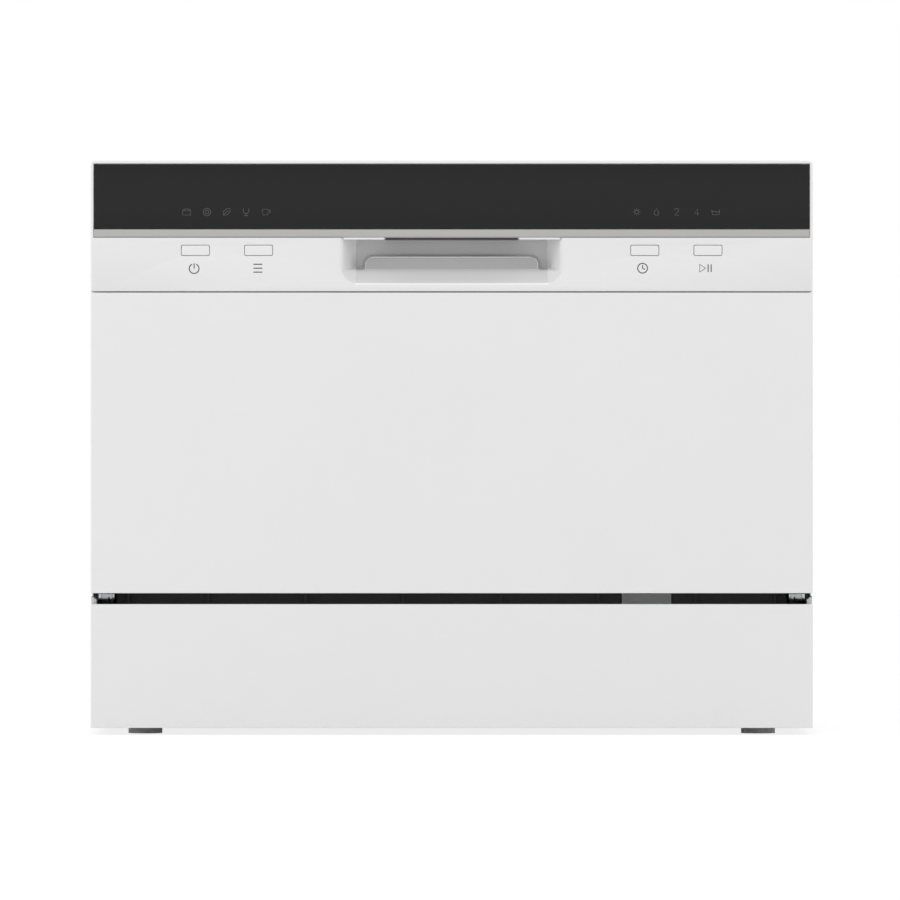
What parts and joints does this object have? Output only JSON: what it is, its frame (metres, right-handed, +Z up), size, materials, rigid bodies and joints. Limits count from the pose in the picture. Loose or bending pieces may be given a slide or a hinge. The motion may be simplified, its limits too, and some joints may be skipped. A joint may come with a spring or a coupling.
{
  "type": "countertop dishwasher",
  "caption": "Compact tabletop dishwasher: drop-down door with control fascia, roll-out wire dish rack, spray arm, steel tub, pumps and water fittings in the base.",
  "frame": {"origin": "middle of the footprint on the surface that the feet stand on", "axes": "+X to the right as seen from the front, +Y from the door to the back, +Z up; the door's face looks towards -Y"},
  "size_m": [0.55, 0.5, 0.438],
  "materials": {
    "paint_white": "smooth white powder coat, satin",
    "fascia_white": "white moulded plastic, satin",
    "cover_white": "white moulded worktop with a fine grain",
    "insert_black": "dark translucent glossy insert",
    "trim_champagne": "brushed champagne silver",
    "button_white": "white button caps, semi-gloss",
    "base_black": "black moulded plastic",
    "duct_grey": "dark grey plastic",
    "stainless": "brushed stainless steel",
    "zinc": "zinc-plated steel",
    "seal_rubber": "black EPDM",
    "foot_rubber": "pale grey rubber",
    "plastic_grey": "grey moulded plastic",
    "rack_coat": "grey nylon-coated wire",
    "roller_white": "white acetal",
    "cap_blue": "blue rinse-aid cap",
    "dispenser_grey": "pale grey plastic",
    "felt": "bitumen felt",
    "board_green": "circuit board",
    "hose_grey": "grey rubber hose",
    "clear_plastic": "milky plastic",
    "float_foam": "white foam"
  },
  "bodies": {
    "cabinet": {"base_tray": "base_black", "rubber_feet": "foot_rubber", "kick_panel": "paint_white", "side_panel_left": "paint_white", "side_panel_right": "paint_white", "rear_panel": "paint_white", "top_cover": "cover_white", "tub": "stainless", "tub_front_frame": "stainless", "tub_gasket": "seal_rubber", "hinge_brackets": "zinc", "hinge_pins": "stainless", "door_springs": "zinc", "door_strike": "zinc", "sump": "base_black", "flat_filter": "stainless", "spray_hub": "plastic_grey", "wash_pump": "base_black", "drain_pump": "base_black", "heater": "stainless", "inlet_valve": "plastic_grey", "air_break": "clear_plastic", "softener": "plastic_grey", "water_hoses": "hose_grey", "drain_spigot": "base_black", "cable_gland": "base_black", "rail_supports": "plastic_grey", "harness_duct": "duct_grey", "cabinet_screws": "zinc"},
    "door": {"door_outer_panel": "paint_white", "door_inner_panel": "stainless", "door_insulation": "felt", "control_fascia": "fascia_white", "display_insert": "insert_black", "trim_strip": "trim_champagne", "hinge_arms": "zinc", "control_board": "board_green", "door_lock": "base_black", "dispenser_body": "dispenser_grey", "door_screws": "zinc"},
    "latch_lever": {"latch_lever": "base_black"},
    "latch_hook": {"latch_hook": "zinc"},
    "power_button": {"power_button": "button_white"},
    "program_button": {"program_button": "button_white"},
    "delay_button": {"delay_button": "button_white"},
    "start_button": {"start_button": "button_white"},
    "detergent_lid": {"detergent_lid": "dispenser_grey"},
    "rinse_aid_cap": {"rinse_aid_cap": "cap_blue"},
    "rack": {"dish_rack": "rack_coat", "plate_tines": "rack_coat", "rack_rails": "plastic_grey"},
    "cup_shelf": {"cup_shelf": "plastic_grey"},
    "cutlery_basket": {"cutlery_basket": "plastic_grey"},
    "spray_arm": {"spray_arm": "plastic_grey"},
    "filter_cylinder": {"filter_cylinder": "plastic_grey"},
    "salt_cap": {"salt_cap": "base_black"},
    "leak_float": {"leak_float": "float_foam"},
    "roller_left": {"rail_roller_left": "roller_white"},
    "roller_right": {"rail_roller_right": "roller_white"}
  },
  "joints": [
    {"name": "door_hinge", "type": "hinge", "parent": "cabinet", "child": "door", "pos_m": [0, -0.2445, 0.1067], "axis": [1, 0, 0], "range_deg": [0, 90], "stiffness_Nm_per_rad": 4.5, "deforming": ["door_springs"]},
    {"name": "rack_slide", "type": "slide", "parent": "cabinet", "child": "rack", "axis": [0, -1, 0], "range_m": [0, 0.197]},
    {"name": "roller_left_spin", "type": "hinge", "parent": "cabinet", "child": "roller_left", "pos_m": [-0.24125, -0.19, 0.235], "axis": [1, 0, 0], "range_deg": [0, 1612]},
    {"name": "roller_right_spin", "type": "hinge", "parent": "cabinet", "child": "roller_right", "pos_m": [0.24125, -0.19, 0.235], "axis": [1, 0, 0], "range_deg": [0, 1612]},
    {"name": "latch_lever_pivot", "type": "hinge", "parent": "door", "child": "latch_lever", "pos_m": [0, -0.2435, 0.3825], "axis": [1, 0, 0], "range_deg": [0, 18], "stiffness_Nm_per_rad": 0.6, "springref_deg": -2.86},
    {"name": "latch_hook_lift", "type": "slide", "parent": "door", "child": "latch_hook", "axis": [0, 0, 1], "range_m": [0, 0.0047]},
    {"name": "power_button_press", "type": "slide", "parent": "door", "child": "power_button", "axis": [0, 1, 0], "range_m": [0, 0.0012], "stiffness_N_per_m": 900, "springref_m": -0.0004},
    {"name": "program_button_press", "type": "slide", "parent": "door", "child": "program_button", "axis": [0, 1, 0], "range_m": [0, 0.0012], "stiffness_N_per_m": 900, "springref_m": -0.0004},
    {"name": "delay_button_press", "type": "slide", "parent": "door", "child": "delay_button", "axis": [0, 1, 0], "range_m": [0, 0.0012], "stiffness_N_per_m": 900, "springref_m": -0.0004},
    {"name": "start_button_press", "type": "slide", "parent": "door", "child": "start_button", "axis": [0, 1, 0], "range_m": [0, 0.0012], "stiffness_N_per_m": 900, "springref_m": -0.0004},
    {"name": "detergent_lid_slide", "type": "slide", "parent": "door", "child": "detergent_lid", "axis": [1, 0, 0], "range_m": [0, 0.068]},
    {"name": "rinse_aid_cap_turn", "type": "hinge", "parent": "door", "child": "rinse_aid_cap", "pos_m": [0.035, -0.2085, 0.3001], "axis": [0, 1, 0], "range_deg": [0, 90]},
    {"name": "cup_shelf_fold", "type": "hinge", "parent": "rack", "child": "cup_shelf", "pos_m": [-0.227, 0, 0.246], "axis": [0, -1, 0], "range_deg": [0, 85]},
    {"name": "cutlery_basket_lift", "type": "slide", "parent": "rack", "child": "cutlery_basket", "axis": [0, 0, 1], "range_m": [0, 0.12]},
    {"name": "spray_arm_spin", "type": "hinge", "parent": "cabinet", "child": "spray_arm", "pos_m": [0, -0.004, 0.134], "axis": [0, 0, 1], "continuous": true},
    {"name": "filter_turn", "type": "hinge", "parent": "cabinet", "child": "filter_cylinder", "pos_m": [0.095, -0.095, 0.12], "axis": [0, 0, 1], "range_deg": [0, 60]},
    {"name": "salt_cap_turn", "type": "hinge", "parent": "cabinet", "child": "salt_cap", "pos_m": [-0.16, -0.115, 0.12], "axis": [0, 0, 1], "range_deg": [0, 90]},
    {"name": "leak_float_rise", "type": "slide", "parent": "cabinet", "child": "leak_float", "axis": [0, 0, 1], "range_m": [0, 0.008]}
  ],
  "couplings": [
    {"joint": "rack_slide", "follows": "door_hinge", "m_per_rad": 0.125},
    {"joint": "roller_left_spin", "follows": "door_hinge", "ratio": 17.857},
    {"joint": "roller_right_spin", "follows": "door_hinge", "ratio": 17.857},
    {"joint": "latch_lever_pivot", "follows": "latch_hook_lift", "rad_per_m": 66.667}
  ]
}
